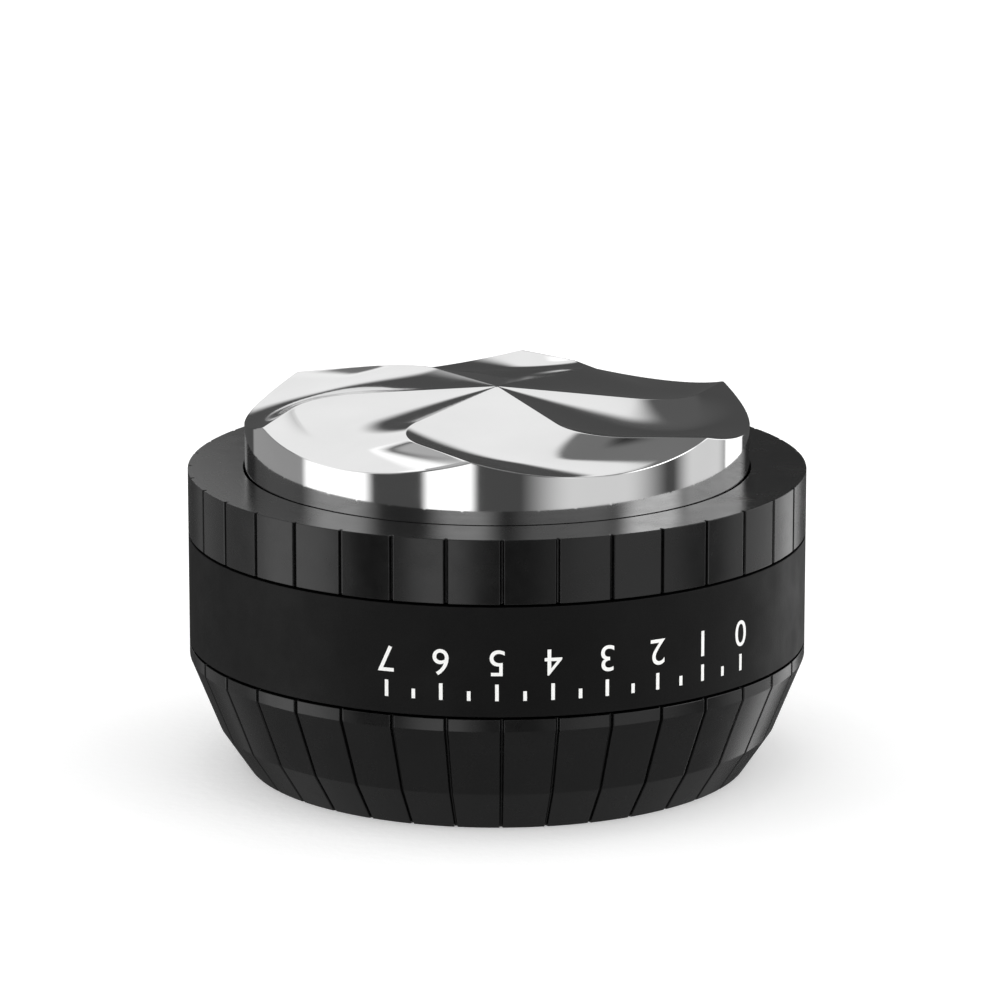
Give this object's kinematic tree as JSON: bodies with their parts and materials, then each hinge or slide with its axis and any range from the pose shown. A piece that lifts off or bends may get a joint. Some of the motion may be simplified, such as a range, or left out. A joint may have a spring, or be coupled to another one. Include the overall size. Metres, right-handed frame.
{
  "type": "coffee distributor",
  "caption": "Palm-held coffee distributor: a steel base with curved blades screws in and out of a grooved black body, which sets how deep it levels the grounds.",
  "frame": {"origin": "centre of the palm cap's flat face, on which the part stands with its blades up", "axes": "+Z along the tool's axis, from the palm face to the blades; X and Y across it"},
  "size_m": [0.0716, 0.0716, 0.0444],
  "materials": {
    "black_anodised": "satin black anodised",
    "matte_black": "fine bead-blasted, matte black anodised",
    "polished_steel": "polished stainless steel",
    "machined_alloy": "as machined",
    "screw_steel": "plain stainless",
    "nylon": "natural nylon",
    "white_print": "screen-printed white ink",
    "black_rubber": "matte"
  },
  "bodies": {
    "cap": {"palm_cap": "black_anodised"},
    "lock_washer": {"lock_washer": "nylon"},
    "sleeve": {"grip_band": "matte_black", "depth_collar": "black_anodised", "band_screw_1": "screw_steel", "band_screw_2": "screw_steel", "band_screw_3": "screw_steel", "band_screw_4": "screw_steel"},
    "seal_ring": {"seal_ring": "black_rubber"},
    "base": {"fin_base": "polished_steel", "threaded_hub": "machined_alloy", "hub_screw_1": "screw_steel", "hub_screw_2": "screw_steel", "hub_screw_3": "screw_steel", "spring_washer_1": "screw_steel", "spring_washer_2": "screw_steel", "spring_washer_3": "screw_steel", "dowel_pin_1": "screw_steel", "dowel_pin_2": "screw_steel"}
  },
  "joints": [
    {"name": "lock_turn", "type": "hinge", "parent": "cap", "child": "lock_washer", "pos_m": [0, 0, 0.01451], "axis": [0, 0, 1], "range_deg": [0, 180]},
    {"name": "lock_lift", "type": "slide", "parent": "lock_washer", "child": "sleeve", "axis": [0, 0, 1], "range_m": [0, 0.001]},
    {"name": "base_travel", "type": "slide", "parent": "sleeve", "child": "seal_ring", "axis": [0, 0, 1], "range_m": [-0.003, 0.003]},
    {"name": "base_turn", "type": "hinge", "parent": "seal_ring", "child": "base", "pos_m": [0, 0, 0.02809], "axis": [0, 0, 1], "range_deg": [-540, 540]}
  ],
  "couplings": [
    {"joint": "lock_lift", "follows": "lock_turn", "m_per_rad": 0.00031831},
    {"joint": "base_travel", "follows": "base_turn", "m_per_rad": 0.00031831}
  ]
}
